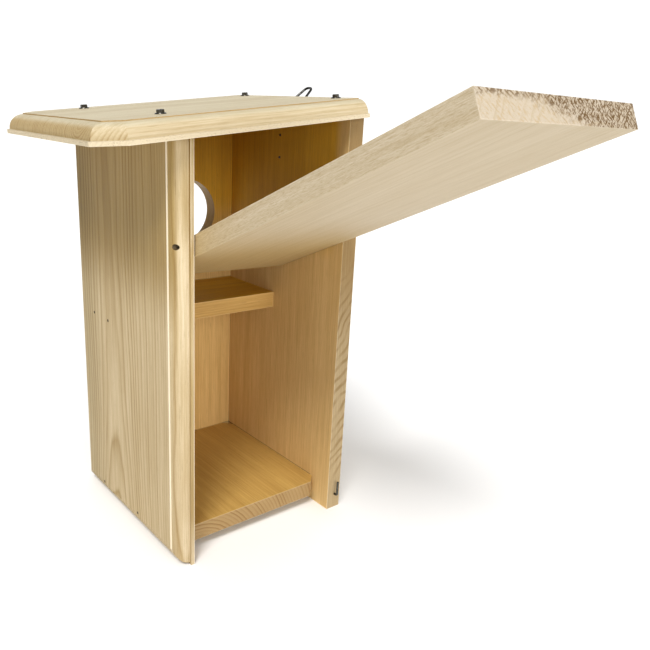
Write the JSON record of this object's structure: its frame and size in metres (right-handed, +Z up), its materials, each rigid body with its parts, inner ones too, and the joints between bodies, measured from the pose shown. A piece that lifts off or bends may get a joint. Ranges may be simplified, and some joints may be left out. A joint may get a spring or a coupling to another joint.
{
  "type": "nest box",
  "caption": "Wooden nest box with a sloping overhanging roof, round side entrance, inner shelf, flip-up side door, turning latch hook and hanging ring.",
  "frame": {"origin": "middle of the bottom edge of the back board's outer face, on the surface that the box stands on", "axes": "+Z up; +Y out of the back, towards the post or wall it hangs on, so the front board faces -Y; +X towards the door side, the entrance hole is in the -X side"},
  "size_m": [0.5578, 0.3158, 0.4942],
  "materials": {
    "front_pine": "matte",
    "back_pine": "matte",
    "side_pine": "matte",
    "door_pine": "matte",
    "floor_pine": "matte",
    "shelf_pine": "matte",
    "roof_pine": "matte",
    "screw_steel": "satin",
    "nail_steel": "satin",
    "hook_steel": "satin",
    "hanger_steel": "satin"
  },
  "bodies": {
    "box": {"front_panel": "front_pine", "back_panel": "back_pine", "entrance_side": "side_pine", "floor_board": "floor_pine", "inner_shelf": "shelf_pine", "roof_board": "roof_pine", "roof_screws": "screw_steel", "pivot_nail_front": "nail_steel", "pivot_nail_back": "nail_steel", "floor_brads": "nail_steel", "shelf_brads": "nail_steel", "side_brads": "nail_steel", "hanger_strap": "hanger_steel", "hanger_screws": "screw_steel"},
    "door": {"side_door": "door_pine"},
    "latch": {"latch_hook": "hook_steel"},
    "ring": {"hanger_ring": "hanger_steel"}
  },
  "joints": [
    {"name": "door_swing", "type": "hinge", "parent": "box", "child": "door", "pos_m": [0.113, -0.11113, 0.34], "axis": [0, -1, 0], "range_deg": [-113.5, 45]},
    {"name": "latch_turn", "type": "hinge", "parent": "box", "child": "latch", "pos_m": [0.126, -0.008, 0.018], "axis": [1, 0, 0], "range_deg": [0, 90]},
    {"name": "ring_swing", "type": "hinge", "parent": "box", "child": "ring", "pos_m": [0, 0.0026, 0.4756], "axis": [1, 0, 0], "range_deg": [-130, 70]}
  ]
}
